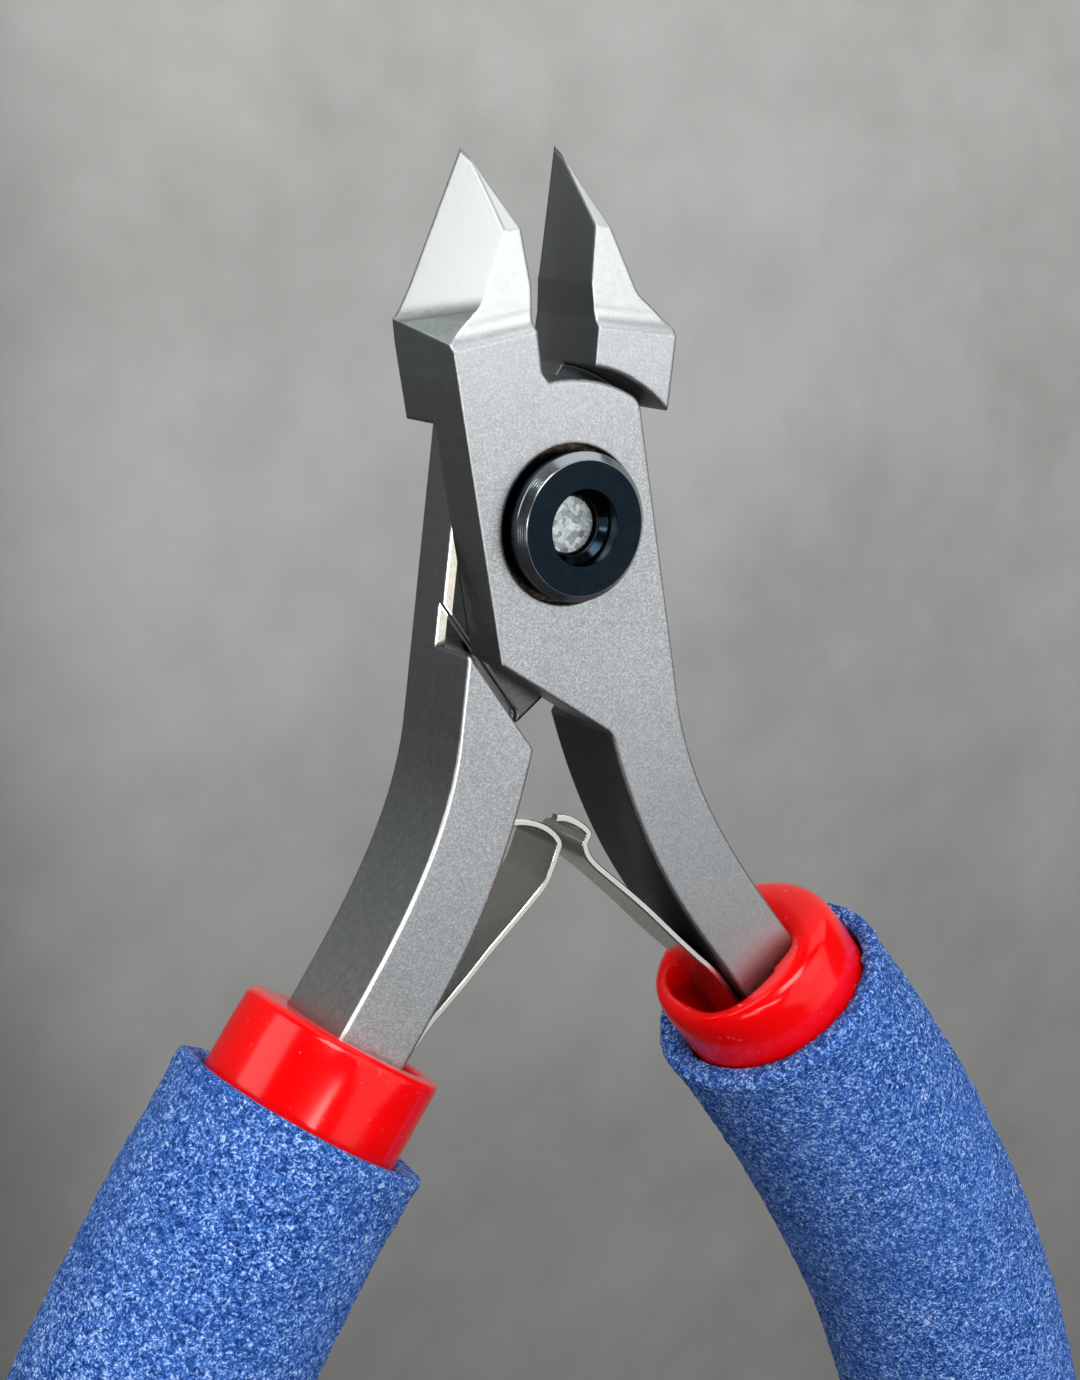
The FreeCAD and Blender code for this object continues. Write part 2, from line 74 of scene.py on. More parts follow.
# ---------------------------------------------------------------- shaders
class Shader:
    """Small helper that builds one node material."""

    def __init__(self, name):
        self.material = bpy.data.materials.new(name)
        self.material.use_nodes = True
        self.tree = self.material.node_tree
        self.tree.nodes.clear()
        self.out = self.tree.nodes.new("ShaderNodeOutputMaterial")
        self.coords = self.tree.nodes.new("ShaderNodeTexCoord")
        self.body = self.tree.nodes.new("ShaderNodeBsdfPrincipled")
        self.tree.links.new(self.body.outputs[0], self.out.inputs[0])

    def put(self, socket, value):
        if hasattr(value, "is_output"):
            self.tree.links.new(value, socket)
        else:
            socket.default_value = value

    def set(self, **values):
        for name, value in values.items():
            self.put(self.body.inputs[name.replace("_", " ")], value)

    def node(self, kind, inputs=None, **settings):
        made = self.tree.nodes.new(kind)
        for name, value in settings.items():
            setattr(made, name, value)
        for name, value in (inputs or {}).items():
            self.put(made.inputs[name], value)
        return made

    @property
    def place(self):
        return self.coords.outputs["Object"]

    def scaled(self, scale, turn=(0, 0, 0)):
        made = self.node("ShaderNodeMapping", {
            "Vector": self.place, "Scale": scale, "Rotation": turn})
        return made.outputs[0]

    def noise(self, scale, detail=3.0, rough=0.6, where=None, twist=0.0):
        made = self.node("ShaderNodeTexNoise", {
            "Vector": where or self.place, "Scale": scale, "Detail": detail,
            "Roughness": rough, "Distortion": twist})
        return made.outputs["Fac"]

    def math(self, kind, a, b=0.0):
        made = self.node("ShaderNodeMath", operation=kind)
        for socket, value in zip(made.inputs, (a, b)):
            self.put(socket, value)
        return made.outputs[0]

    def remap(self, value, low, high, to_low=0.0, to_high=1.0, smooth=False):
        made = self.node("ShaderNodeMapRange", {
            "Value": value, "From Min": low, "From Max": high,
            "To Min": to_low, "To Max": to_high})
        if smooth:
            made.interpolation_type = "SMOOTHSTEP"
        return made.outputs[0]

    def mix(self, share, a, b, blend="MIX"):
        made = self.node("ShaderNodeMix", data_type="RGBA", blend_type=blend)
        self.put(made.inputs[0], share)
        self.put(made.inputs[6], a)
        self.put(made.inputs[7], b)
        return made.outputs[2]

    def split(self, vector):
        return self.node("ShaderNodeSeparateXYZ", {0: vector}).outputs

    def length(self, vector):
        made = self.node("ShaderNodeVectorMath", {0: vector}, operation="LENGTH")
        return made.outputs["Value"]

    def bump(self, height, distance, strength=1.0, normal=None):
        inputs = {"Height": height, "Distance": distance, "Strength": strength}
        if normal is not None:
            inputs["Normal"] = normal
        return self.node("ShaderNodeBump", inputs).outputs[0]

    def rounded(self, radius):
        return self.node("ShaderNodeBevel", {"Radius": radius}, samples=8).outputs[0]


def steel_material():
    s = Shader("satin_steel")
    x, y, z = s.split(s.place)
    geometry = s.tree.nodes.new("ShaderNodeNewGeometry")
    facing = s.split(geometry.outputs["True Normal"])
    grain = s.noise(9500, 2.0, 0.8)
    fine = s.noise(2600, 3.0, 0.6)
    cloud = s.noise(260, 2.0, 0.5)
    # Faint slanting grinding marks round the pivot.
    marks = s.noise(1.0, 3.0, 0.55, where=s.scaled((5200, 240, 400), (0, 0, 0.7)))
    marks = s.remap(marks, 0.52, 0.75)
    flat = s.node("ShaderNodeCombineXYZ", {"X": x, "Y": y, "Z": 0.0}).outputs[0]
    ring = s.remap(s.length(flat), 4.6 * MM, 9.5 * MM, 1.0, 0.0)
    marks = s.math("MULTIPLY", marks, ring)
    base = s.mix(s.remap(cloud, 0.3, 0.7), (0.495, 0.515, 0.53, 1), (0.555, 0.575, 0.59, 1))
    base = s.mix(s.remap(grain, 0.52, 0.64, 0.0, 0.7), base, (0.84, 0.86, 0.87, 1))
    base = s.mix(s.remap(grain, 0.50, 0.38, 0.0, 0.7), base, (0.32, 0.335, 0.345, 1))
    base = s.mix(s.math("MULTIPLY", marks, 0.35), base, (0.78, 0.79, 0.80, 1))
    # The front faces are painted darker towards the grips as painted shade, and paler towards the
    # jaws as painted light.
    low = s.remap(y, -8.0 * MM, -34.0 * MM, 0.0, 1.0)
    low = s.math("MULTIPLY", low, s.remap(x, -3.0 * MM, 4.0 * MM, 0.2, 0.85))
    base = s.mix(low, base, (0.33, 0.345, 0.355, 1))
    high = s.remap(y, 1.0 * MM, 10.0 * MM, 0.0, 0.45)
    base = s.mix(high, base, (0.76, 0.79, 0.80, 1))
    # The jaws beyond the ridge are painted paler, partly for their ground finish and partly as a
    # painted highlight, more strongly on the left; they are also a little smoother.
    jaw = s.remap(y, 11.0 * MM, 12.4 * MM, smooth=True)
    jaw_finish_and_highlight = s.math("MULTIPLY", jaw, s.remap(x, 0.0, 4.0 * MM, 0.78, 0.40))
    base = s.mix(jaw_finish_and_highlight, base, (0.79, 0.83, 0.83, 1))
    # The run-out facet carries a painted highlight: it is painted pale, picked by place and
    # direction.
    run_out_highlight = s.math("MULTIPLY", s.remap(x, -2.4 * MM, -2.9 * MM),
                     s.remap(y, 12.5 * MM, 12.2 * MM))
    run_out_highlight = s.math("MULTIPLY", run_out_highlight, s.remap(y, 8.2 * MM, 9.2 * MM))
    run_out_highlight = s.math("MULTIPLY", run_out_highlight, s.math("LESS_THAN", facing[0], -0.3))
    base = s.mix(run_out_highlight, base, (0.86, 0.97, 0.95, 1))
    # The side faces are painted darker and bluer as painted shade. The inner ones of the right
    # handle are painted near black as shade, and the left ones near the grips paler as painted
    # light.
    side = s.remap(s.math("ABSOLUTE", facing[2]), 0.16, 0.05)
    # Painted light: the left side faces are paler towards the grip.
    left_side_light = s.math("MULTIPLY", s.remap(y, -14.0 * MM, -30.0 * MM),
                      s.remap(x, -2.0 * MM, -5.0 * MM))
    side_shade_and_light = s.mix(left_side_light, (0.22, 0.235, 0.245, 1), (0.46, 0.50, 0.49, 1))
    # Painted shade: the side faces of the right handle, below the pivot, near black.
    inner = s.math("MULTIPLY", s.remap(y, -7.0 * MM, -9.0 * MM), s.remap(x, 0.0, 2.0 * MM))
    side_shade_and_light = s.mix(inner, side_shade_and_light, (0.05, 0.055, 0.058, 1))
    base = s.mix(s.math("MULTIPLY", side, 0.85), base, side_shade_and_light)
    # The lap faces are scratched, in a dark grey that is painted shade, and are painted near black
    # as shade towards the left and from just above the pivot up.
    off_middle = s.math("ABSOLUTE", s.math("SUBTRACT", z, MIDDLE_Z * MM))
    lap = s.math("MULTIPLY", s.math("LESS_THAN", off_middle, 0.7 * MM),
                 s.math("GREATER_THAN", s.math("ABSOLUTE", facing[2]), 0.9))
    scratch = s.noise(1.0, 2.0, 0.6, where=s.scaled((420, 3800, 400), (0, 0, 0.5)))
    lap_scratch_and_shade = s.mix(scratch, (0.14, 0.14, 0.13, 1), (0.34, 0.335, 0.31, 1))
    lap_scratch_and_shade = s.mix(s.remap(x, -4.6 * MM, -3.4 * MM, 0.0, 0.6), lap_scratch_and_shade, (0.06, 0.065, 0.07, 1))
    lap_scratch_and_shade = s.mix(s.remap(y, -1.0 * MM, 2.0 * MM), lap_scratch_and_shade, (0.06, 0.065, 0.07, 1))
    base = s.mix(lap, base, lap_scratch_and_shade)
    rough = s.remap(fine, 0.3, 0.7, 0.36, 0.46)
    rough = s.math("SUBTRACT", rough, s.math("MULTIPLY", jaw, 0.04))
    rough = s.math("SUBTRACT", rough, s.math("MULTIPLY", lap, 0.22))
    # The outer strip of the lap face is a painted highlight: it gets its own colour and is shaded
    # as if it tilted; the shape has no such edge.
    across = s.math("SUBTRACT", s.math("MULTIPLY", x, math.cos(OPEN_HALF)),
                    s.math("MULTIPLY", y, math.sin(OPEN_HALF)))
    strip = s.math("MULTIPLY", lap, s.math("LESS_THAN", across, -5.42 * MM))
    strip = s.math("MULTIPLY", strip, s.math("LESS_THAN", y, 0.0))
    base = s.mix(strip, base, (0.27, 0.26, 0.22, 1))
    tilt = s.node("ShaderNodeMix", data_type="VECTOR")
    s.put(tilt.inputs[0], strip)
    wear_and_highlight = s.rounded(0.30 * MM)
    s.put(tilt.inputs[4], wear_and_highlight)
    s.put(tilt.inputs[5], (-0.60, 0.0, 0.80))
    edge = tilt.outputs[1]
    # Edges between the front and the left side faces carry a painted highlight, picked by
    # direction.
    turned = s.split(wear_and_highlight)
    bright = s.math("MULTIPLY", s.remap(turned[0], -0.22, -0.42), s.remap(turned[2], 0.22, 0.42))
    bright = s.math("MULTIPLY", bright, s.math("LESS_THAN", y, 10.5 * MM))
    bright = s.math("MULTIPLY", bright, s.math("LESS_THAN", x, -1.0 * MM))
    base = s.mix(bright, base, (0.97, 0.98, 0.98, 1))
    height = s.math("ADD", s.math("MULTIPLY", grain, 0.8), s.math("MULTIPLY", fine, 0.5))
    normal = s.bump(height, 0.012 * MM, 0.55, edge)
    s.set(Base_Color=base, Metallic=1.0, Roughness=rough, Normal=normal)
    return s.material


def black_material():
    s = Shader("black_oxide")
    x, y, z = s.split(s.place)
    flat = s.node("ShaderNodeCombineXYZ", {"X": x, "Y": y, "Z": 0.0}).outputs[0]
    turning = s.math("SINE", s.math("MULTIPLY", s.length(flat), 2 * math.pi / (0.09 * MM)))
    cloud = s.noise(900, 3.0, 0.6)
    base = s.mix(cloud, (0.006, 0.010, 0.015, 1), (0.014, 0.024, 0.034, 1))
    # The chamfer round the head is worn bright.
    wear_and_highlight = s.math("MULTIPLY", s.math("GREATER_THAN", s.length(flat), 4.02 * MM),
                  s.math("GREATER_THAN", z, -0.50 * MM))
    base = s.mix(s.math("MULTIPLY", wear_and_highlight, 0.8), base, (0.42, 0.47, 0.50, 1))
    normal = s.bump(turning, 0.0012 * MM, 0.6, s.rounded(0.12 * MM))
    s.set(Base_Color=base, Metallic=1.0, Roughness=s.remap(cloud, 0.3, 0.7, 0.12, 0.22),
          Normal=normal)
    return s.material


def screw_material():
    s = Shader("bright_screw")
    patches = s.node("ShaderNodeTexVoronoi", {"Vector": s.place, "Scale": 2600.0}).outputs["Color"]
    tone = s.split(patches)[0]
    small = s.noise(3800, 4.0, 0.75, twist=1.2)
    mixed = s.math("ADD", s.math("MULTIPLY", tone, 0.45), s.math("MULTIPLY", small, 0.65))
    base = s.mix(s.remap(mixed, 0.32, 0.78), (0.20, 0.26, 0.28, 1), (0.86, 0.90, 0.90, 1))
    normal = s.bump(mixed, 0.05 * MM, 0.8)
    s.set(Base_Color=base, Metallic=0.9, Roughness=s.remap(small, 0.3, 0.7, 0.16, 0.42),
          Normal=normal)
    return s.material


def washer_material():
    s = Shader("bronze_washer")
    spots = s.noise(5200, 4.0, 0.8)
    base = s.mix(s.remap(spots, 0.45, 0.68), (0.020, 0.017, 0.012, 1), (0.26, 0.20, 0.11, 1))
    s.set(Base_Color=base, Metallic=0.8, Roughness=s.remap(spots, 0.4, 0.7, 0.5, 0.3),
          Normal=s.bump(spots, 0.03 * MM, 0.8))
    return s.material


def spring_material():
    s = Shader("spring_steel")
    brushed = s.noise(1.0, 3.0, 0.6, where=s.scaled((700, 700, 6500)))
    cloud = s.noise(420, 3.0, 0.6)
    base = s.mix(brushed, (0.60, 0.58, 0.54, 1), (0.78, 0.77, 0.74, 1))
    rough = s.math("ADD", s.remap(brushed, 0.35, 0.65, 0.14, 0.26),
                   s.math("MULTIPLY", cloud, 0.06))
    s.set(Base_Color=base, Metallic=1.0, Roughness=rough,
          Normal=s.bump(brushed, 0.004 * MM, 0.5, s.rounded(0.07 * MM)))
    return s.material


def red_material():
    s = Shader("red_plastisol")
    specks = s.remap(s.noise(1700, 2.0, 0.5), 0.70, 0.74)
    waves = s.noise(180, 2.0, 0.5)
    base = s.mix(s.remap(waves, 0.3, 0.7), (0.96, 0.000, 0.001, 1), (1.0, 0.001, 0.002, 1))
    base = s.mix(s.math("MULTIPLY", specks, 0.35), base, (0.95, 0.18, 0.20, 1))
    height = s.math("ADD", s.math("MULTIPLY", waves, 1.0), s.math("MULTIPLY", specks, 0.05))
    s.set(Base_Color=base, Roughness=0.17, Normal=s.bump(height, 0.06 * MM, 0.4))
    s.body.inputs["Coat Weight"].default_value = 0.15
    s.body.inputs["Coat Roughness"].default_value = 0.12
    s.body.inputs["Specular IOR Level"].default_value = 0.28
    return s.material


def foam_material():
    s = Shader("blue_foam")
    curls = s.noise(2700, 4.0, 0.80, twist=0.8)
    pores = s.noise(5600, 2.0, 0.8)
    patches = s.noise(420, 3.0, 0.6)
    cloud = s.noise(120, 2.0, 0.5)
    mixed = s.math("ADD", s.math("MULTIPLY", curls, 0.60), s.math("MULTIPLY", pores, 0.40))
    mixed = s.math("ADD", mixed, s.math("MULTIPLY", s.math("SUBTRACT", patches, 0.5), 0.07))
    ramp = s.node("ShaderNodeValToRGB", {"Fac": s.remap(mixed, 0.385, 0.615)})
    stops = ramp.color_ramp.elements
    stops[0].position = 0.08
    stops[0].color = (0.002, 0.014, 0.09, 1)
    stops[1].position = 0.95
    stops[1].color = (0.62, 0.80, 1.0, 1)
    middle = stops.new(0.45)
    middle.color = (0.022, 0.100, 0.42, 1)
    upper = stops.new(0.68)
    upper.color = (0.11, 0.28, 0.80, 1)
    base = s.mix(s.remap(cloud, 0.3, 0.7, 0.0, 0.2), ramp.outputs[0], (0.07, 0.19, 0.60, 1))
    s.set(Base_Color=base, Roughness=0.95, Normal=s.bump(mixed, 0.22 * MM, 0.9))
    s.body.inputs["Sheen Weight"].default_value = 0.03
    s.body.inputs["Sheen Roughness"].default_value = 0.5
    s.body.inputs["Sheen Tint"].default_value = (0.5, 0.7, 1.0, 1)
    s.body.inputs["Specular IOR Level"].default_value = 0.1
    return s.material


STEEL = steel_material()
BLACK = black_material()
SCREW = screw_material()
WASHER = washer_material()
SPRING = spring_material()
RED = red_material()
FOAM = foam_material()


def dress(node, material):
    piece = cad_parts[node]
    piece.data.materials.clear()
    piece.data.materials.append(material)


for node in ("front_half", "rear_half"):
    dress(node, STEEL)
dress("pivot_barrel", BLACK)
dress("pivot_screw", SCREW)
for node in ("front_washer", "rear_washer"):
    dress(node, WASHER)
for node in ("right_spring_rivet", "left_spring_rivet"):
    dress(node, SPRING)


# ---------------------------------------------------------------- handle centre lines
# The right handle, closed, in millimetres; the left one is its mirror image.
KNOTS = (
    (4.49, -19.9), (6.81, -26.0), (10.20, -32.7), (11.59, -35.3), (16.60, -45.0),
    (20.90, -55.0), (24.10, -65.0), (26.01, -75.0), (26.90, -85.0), (26.79, -95.0),
    (25.80, -105.0), (24.29, -113.8), (23.40, -118.0),
)


def smooth_through(knots, t):
    """Point and direction of a smooth curve through the knots; t counts knots."""
    last = len(knots) - 1
    i = min(max(int(t), 0), last - 1)
    f = t - i
    p = [Vector(knots[min(max(i + k, 0), last)]) for k in (-1, 0, 1, 2)]
    if i == 0:
        p[0] = p[1] * 2 - p[2]
    if i == last - 1:
        p[3] = p[2] * 2 - p[1]
    m0, m1 = (p[2] - p[0]) / 2, (p[3] - p[1]) / 2
    point = ((2 * f**3 - 3 * f**2 + 1) * p[1] + (f**3 - 2 * f**2 + f) * m0
             + (-2 * f**3 + 3 * f**2) * p[2] + (f**3 - f**2) * m1)
    slope = ((6 * f**2 - 6 * f) * p[1] + (3 * f**2 - 4 * f + 1) * m0
             + (-6 * f**2 + 6 * f) * p[2] + (3 * f**2 - 2 * f) * m1)
    return point, slope.normalized()


def at_height(y):
    low, high = 0.0, len(KNOTS) - 1.0
    for _ in range(40):
        middle = (low + high) / 2
        if smooth_through(KNOTS, middle)[0].y > y:
            low = middle
        else:
            high = middle
    return smooth_through(KNOTS, low)


def stored(side, x, y, z=0.0):
    """A point given closed, in millimetres, where it stands in the stored open pose."""
    angle = side * OPEN_HALF
    x *= side
    return Vector((x * math.cos(angle) - y * math.sin(angle),
                   x * math.sin(angle) + y * math.cos(angle), z + MIDDLE_Z)) * MM


def new_object(name, mesh, material):
    piece = bpy.data.objects.new(name, mesh)
    bpy.context.scene.collection.objects.link(piece)
    mesh.materials.append(material)
    return piece


def skin(bm, loops):
    """Faces between loops of as many points each."""
    count = len(loops[0])
    for a, b in zip(loops, loops[1:]):
        for k in range(count):
            j = (k + 1) % count
            bm.faces.new((a[k], a[j], b[j], b[k]))


def finish_mesh(bm, name):
    bmesh.ops.recalc_face_normals(bm, faces=bm.faces)
    mesh = bpy.data.meshes.new(name)
    bm.to_mesh(mesh)
    bm.free()
    return mesh


# ---------------------------------------------------------------- inner grips
BULGE = 0.45
GRIP = 6.5
GRIP_END = 118.0
END_ROUND = 3.2
END_SHORT = 0.02
ROOT_TOP, TANG_END = 34.2, 101.48
BAR_HALF, TANG_HALF = 2.55, 1.8


def bar_half_width(height):
    share = min(max((height - ROOT_TOP) / (TANG_END - ROOT_TOP), 0.0), 1.0)
    return BAR_HALF + share * (TANG_HALF - BAR_HALF)


def make_grip(name, side, mouth):
    """Dipped grip: a rounded lip that hugs the steel, open beside it for the spring."""
    around = 144
    bulge = BULGE if side > 0 else 0.12
    bm = bmesh.new()

    def opening(a):
        # Distance from the centre line to the inner edge, by direction.
        c, z = math.cos(a), abs(math.sin(a))
        wide = 2.62 if c > 0 else 4.95
        tall = 3.80 if c > 0 else 4.05
        power = 5.0 if c > 0 else 3.2
        return (abs(c / wide) ** power + (z / tall) ** power) ** (-1 / power)

    def ring(height, radius_of, drop_of=None):
        point, direction = at_height(-height)
        outward = Vector((-direction.y, direction.x))
        made = []
        for k in range(around):
            a = 2 * math.pi * k / around
            r = radius_of(a)
            drop = drop_of(a) if drop_of else 0.0
            c = point + outward * r * math.cos(a) + direction * drop
            made.append(bm.verts.new(stored(side, c.x, c.y, r * math.sin(a))))
        return made

    def outer(a, depth):
        swell = bulge * max(0.0, math.cos(a)) * min(1.0, depth / 2.2) ** 0.7
        return GRIP + swell

    def between(share, depth):
        return lambda a: opening(a) + (outer(a, depth) - opening(a)) * share

    loops = [ring(mouth + 7.5, opening), ring(mouth + 2.4, opening), ring(mouth + 1.0, opening)]
    # Lip profile: share of the wall from the opening to the outside, and depth below the mouth.
    if side > 0:
        lip = ((0.03, 0.52), (0.10, 0.28), (0.22, 0.10), (0.38, 0.0), (0.55, 0.02),
               (0.70, 0.14), (0.82, 0.34), (0.91, 0.62), (0.97, 1.0), (1.0, 1.5))
    else:
        lip = ((0.03, 0.40), (0.10, 0.20), (0.20, 0.08), (0.36, 0.0), (0.60, 0.0),
               (0.80, 0.03), (0.90, 0.10), (0.955, 0.22), (0.985, 0.38), (1.0, 0.60))
    for share, depth in lip:
        loops.append(ring(mouth, between(share, depth), lambda a, d=depth: d))
    height = mouth + 2.0
    while height < 114.0:
        fade = max(0.0, 1.0 - max(0.0, height - 40.0) / 10.0)
        loops.append(ring(
            height, lambda a, f=fade, h=height: GRIP + (outer(a, h - mouth) - GRIP) * f))
        height += 0.8 if height < 42 else 4.0
    for angle in range(0, 91, 9):
        t = math.radians(angle)
        r = GRIP - END_ROUND * (1 - math.cos(t))
        down = GRIP_END - END_ROUND + END_ROUND * math.sin(t) - END_SHORT
        loops.append(ring(down, lambda a, r=r: r))
    skin(bm, loops)
    bm.faces.new(loops[0])
    bm.faces.new(loops[-1])
    mesh = finish_mesh(bm, name)
    for face in mesh.polygons:
        face.use_smooth = len(face.vertices) == 4
    piece = new_object(name, mesh, RED)
    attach(piece, "front_half_body" if side > 0 else "rear_half_body")
    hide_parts(("right" if side > 0 else "left") + "_inner_grip")


make_grip("right_grip", 1, 33.0)
make_grip("left_grip", -1, 32.0)

# ---------------------------------------------------------------- foam sleeves
AROUND = 220
SLEEVE_TOP, SLEEVE_END = -36.8, -115.5
# Length used for the swell at both ends; a little over SLEEVE_TOP - SLEEVE_END.
SWELL_LENGTH = 79.0


def sleeve_radius(side, depth):
    """Outer radius of the foam along the sleeve; depth is millimetres from the top edge."""
    base = 8.15 if side < 0 else 8.2
    swell = 0.35 if side < 0 else 0.7
    lip = 0.25 * math.exp(-depth / 1.2)
    return base + swell * (1 - math.exp(-depth / 14.0)) + lip


def make_sleeve(name, side):
    rows = []
    bulge = BULGE if side > 0 else 0.0
    steps = 300
    around = AROUND
    inner = 6.62
    for i in range(steps + 1):
        share = i / steps
        y = SLEEVE_TOP + (SLEEVE_END - SLEEVE_TOP) * share
        point, direction = at_height(y)
        outward = Vector((-direction.y, direction.x))
        depth = share * SWELL_LENGTH
        radius = sleeve_radius(side, min(depth, SWELL_LENGTH - depth))
        rows.append((point, direction, outward, radius))
    bm = bmesh.new()
    first = rows[0]
    last = rows[-1]

    def ring(point, direction, outward, radius, lift=0.0, rough=1.0, swell=0.0, slant=0.0):
        made = []
        for k in range(around):
            a = 2 * math.pi * k / around
            out = radius + swell * max(0.0, math.cos(a))
            drop = lift + slant * (0.55 + 0.45 * math.cos(a))
            c = point + outward * out * math.cos(a) + direction * drop
            z = out * math.sin(a)
            at = stored(side, c.x, c.y, z)
            n = noise.noise(at * 2300) * 0.10 + noise.noise(at * 900) * 0.09
            n += noise.noise(at * 160) * 0.06
            axis = stored(side, point.x, point.y)
            away = (at - axis).normalized()
            made.append(bm.verts.new(at + away * n * rough * MM))
        return made

    slant = 0.9 if side > 0 else 0.0
    loops = [ring(*first[:3], inner, 1.8, 0.3, bulge, slant),
             ring(*first[:3], inner + 0.05, 0.35, 0.8, bulge, slant)]
    for share, lift in ((0.12, 0.02), (0.4, -0.10), (0.7, -0.12), (0.9, 0.0)):
        loops.append(ring(*first[:3], inner + (first[3] - inner) * share, lift, 1.4,
                          bulge * (1 - share), slant))
    for number, row in enumerate(rows[1:-1]):
        loops.append(ring(*row, 0.0, 1.0, 0.0, slant * math.exp(-number / 6.0)))
    for share, lift in ((0.92, 0.0), (0.7, 0.12), (0.4, 0.1), (0.1, 0.0)):
        loops.append(ring(*last[:3], inner + (last[3] - inner) * share, lift, 1.2))
    loops.append(ring(*last[:3], inner, -1.8, 0.3))
    skin(bm, loops)
    mesh = finish_mesh(bm, name)
    for face in mesh.polygons:
        face.use_smooth = True
    piece = new_object(name, mesh, FOAM)
    node = ("right" if side > 0 else "left") + "_foam_sleeve"
    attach(piece, "front_half_body" if side > 0 else "rear_half_body")
    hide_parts(node)


make_sleeve("right_foam", 1)
make_sleeve("left_foam", -1)


# ---------------------------------------------------------------- leaf springs
# The part of each strip that has left its tang, closed, in millimetres.
RIGHT_LEAF = (
    (7.02, -32.85), (5.70, -31.08), (4.35, -29.25), (2.40, -26.50), (0.75, -24.35),
    (-0.25, -23.10),
    (-0.90, -22.25), (-1.36, -21.50), (-1.52, -20.90), (-1.50, -20.45), (-1.14, -19.98),
    (-1.42, -19.45), (-1.95, -18.90), (-2.60, -18.42), (-3.25, -18.16),
)
LEFT_LEAF = (
    (5.75, -31.45), (4.30, -29.75), (3.02, -28.30), (1.80, -26.80), (0.34, -25.15),
    (-0.72, -23.95),
    (-1.82, -22.60), (-2.26, -21.50), (-2.52, -20.50), (-2.60, -20.00), (-2.25, -19.50),
    (-1.55, -19.00), (-0.60, -18.64), (0.50, -18.50), (1.90, -18.62),
)
LEAF_HEIGHTS = (43.2, 40.2, 37.2, 34.2)
LEAF_HALF_WIDTH, LEAF_HALF_THICK, LEAF_CORNER = 2.4, 0.225, 0.07
LEAF_OFFSET = 0.305
SLANT_LENGTH, SLANT_SHARE = 3.2, 0.88


def leaf_root(y):
    """Middle of a spring where it lies along its tang."""
    point, direction = at_height(y)
    outward = Vector((-direction.y, direction.x))
    return point - outward * (bar_half_width(-y) + LEAF_OFFSET)


def make_leaf(name, side, free):
    path = [leaf_root(-h) for h in LEAF_HEIGHTS]
    path += [Vector(p) for p in free]
    rows = []
    for i in range(len(path) - 1):
        fine = 8 if i < len(path) - 3 else 24
        for k in range(fine):
            rows.append(smooth_through(path, i + k / fine))
    rows.append(smooth_through(path, len(path) - 1.0001))
    width, thick, corner = LEAF_HALF_WIDTH, LEAF_HALF_THICK, LEAF_CORNER
    section = [(thick - corner, width), (thick, width - corner), (thick, 0.0),
               (thick, corner - width), (thick - corner, -width), (corner - thick, -width),
               (-thick, corner - width), (-thick, 0.0), (-thick, width - corner),
               (corner - thick, width)]
    bm = bmesh.new()
    rings = []
    count = len(rows)
    left = [0.0] * count
    for i in range(count - 2, -1, -1):
        left[i] = left[i + 1] + (rows[i + 1][0] - rows[i][0]).length
    for i, (point, direction) in enumerate(rows):
        outward = Vector((-direction.y, direction.x))
        # The free end is cut on a slant in plan: the front edge runs on to the point.
        narrow = 1.0 - SLANT_SHARE * max(0.0, 1.0 - left[i] / SLANT_LENGTH)
        ring = []
        for across, up in section:
            c = point + outward * across
            ring.append(bm.verts.new(stored(side, c.x, c.y, width - (width - up) * narrow)))
        rings.append(ring)
    skin(bm, rings)
    bm.faces.new(rings[0])
    bm.faces.new(rings[-1][::-1])
    mesh = finish_mesh(bm, name)
    piece = new_object(name, mesh, SPRING)
    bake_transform(piece)
    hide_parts(name.replace("_strip", "_leaf_spring"))


make_leaf("right_strip", 1, RIGHT_LEAF)
make_leaf("left_strip", -1, LEFT_LEAF)


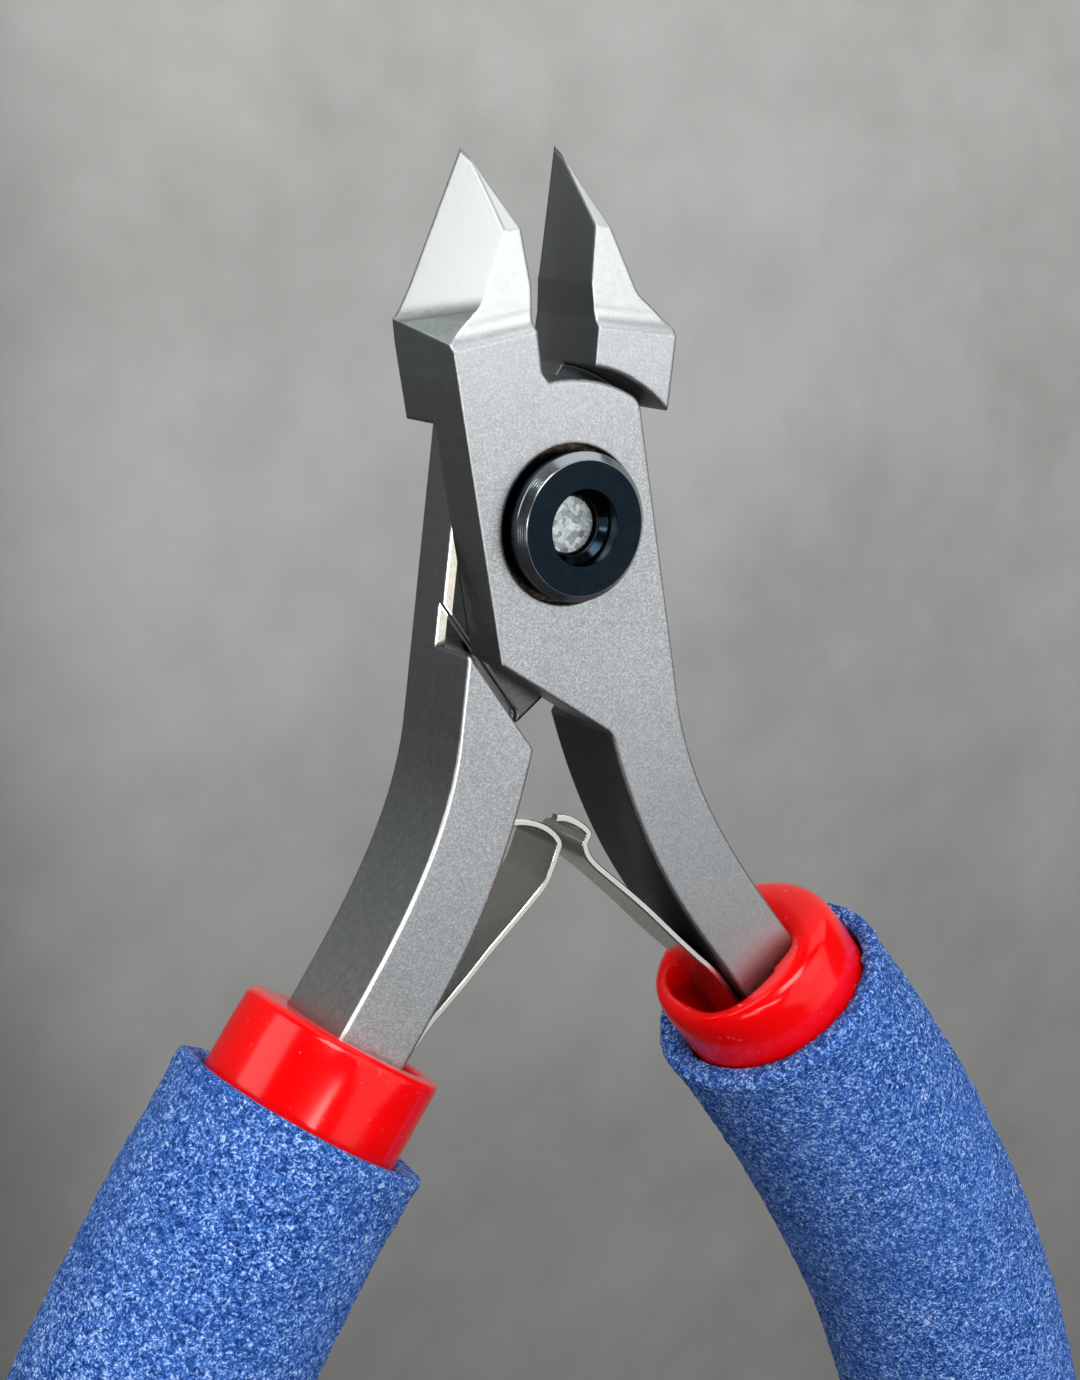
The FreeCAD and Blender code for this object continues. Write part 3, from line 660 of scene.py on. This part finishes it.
# ---------------------------------------------------------------- floor and light
def make_floor():
    bm = bmesh.new()
    bmesh.ops.create_grid(bm, x_segments=1, y_segments=1, size=3.0)
    mesh = bpy.data.meshes.new("floor")
    bm.to_mesh(mesh)
    bm.free()
    s = Shader("floor_grey")
    x, y, _ = s.split(s.place)
    cloud = s.noise(14, 4.0, 0.6)
    fine = s.noise(90, 3.0, 0.6)
    mixed = s.math("ADD", s.math("MULTIPLY", cloud, 0.75), s.math("MULTIPLY", fine, 0.25))
    base = s.mix(s.remap(mixed, 0.35, 0.65), (0.36, 0.36, 0.345, 1), (0.50, 0.50, 0.485, 1))
    # The floor is painted paler beyond the jaws as painted light, and darker towards the handles
    # and to the left as painted shade, which the steel's left faces reflect.
    shade = s.remap(y, -0.22, 0.10, 0.42, 1.15, smooth=True)
    left = s.remap(x, -0.02, 0.03, 0.30, 1.0, smooth=True)
    tone = s.math("MULTIPLY", shade, left)
    grey_tone = s.node("ShaderNodeCombineXYZ", {"X": tone, "Y": tone, "Z": tone}).outputs[0]
    base = s.mix(1.0, base, grey_tone, "MULTIPLY")
    s.set(Base_Color=base, Roughness=0.95)
    piece = new_object("floor", mesh, s.material)
    piece.location.z = FLOOR_Z


def area_light(name, direction, distance, size, glow):
    """A softbox; glow is the radiance of its face."""
    data = bpy.data.lights.new(name, "AREA")
    data.shape = "RECTANGLE"
    data.size, data.size_y = size
    data.energy = glow * math.pi * size[0] * size[1]
    lamp = bpy.data.objects.new(name, data)
    way = Vector(direction).normalized()
    lamp.location = way * distance
    lamp.visible_camera = False
    lamp.rotation_euler = way.to_track_quat("Z", "Y").to_euler()
    bpy.context.scene.collection.objects.link(lamp)


make_floor()
area_light("key", (0.50, 0.10, 0.86), 1.0, (1.3, 1.2), 0.92)
area_light("top", (0.42, 0.34, 0.84), 0.9, (0.8, 0.5), 0.60)
area_light("fill", (-0.24, 0.68, 0.69), 0.9, (0.4, 0.4), 9.5)
area_light("streak", (-0.50, 0.04, 0.86), 0.9, (0.07, 0.50), 15.0)
area_light("edge", (-0.70, -0.17, 0.68), 0.9, (0.26, 0.30), 3.6)
area_light("back", (0.45, 0.88, 0.10), 0.9, (0.9, 0.5), 1.2)
area_light("rim", (-0.75, 0.52, -0.18), 0.32, (0.26, 0.24), 2.6)
world = bpy.data.worlds.new("world")
bpy.context.scene.world = world
world.use_nodes = True
world.node_tree.nodes["Background"].inputs[0].default_value = (0.92, 0.96, 1.0, 1)
world.node_tree.nodes["Background"].inputs[1].default_value = 0.05
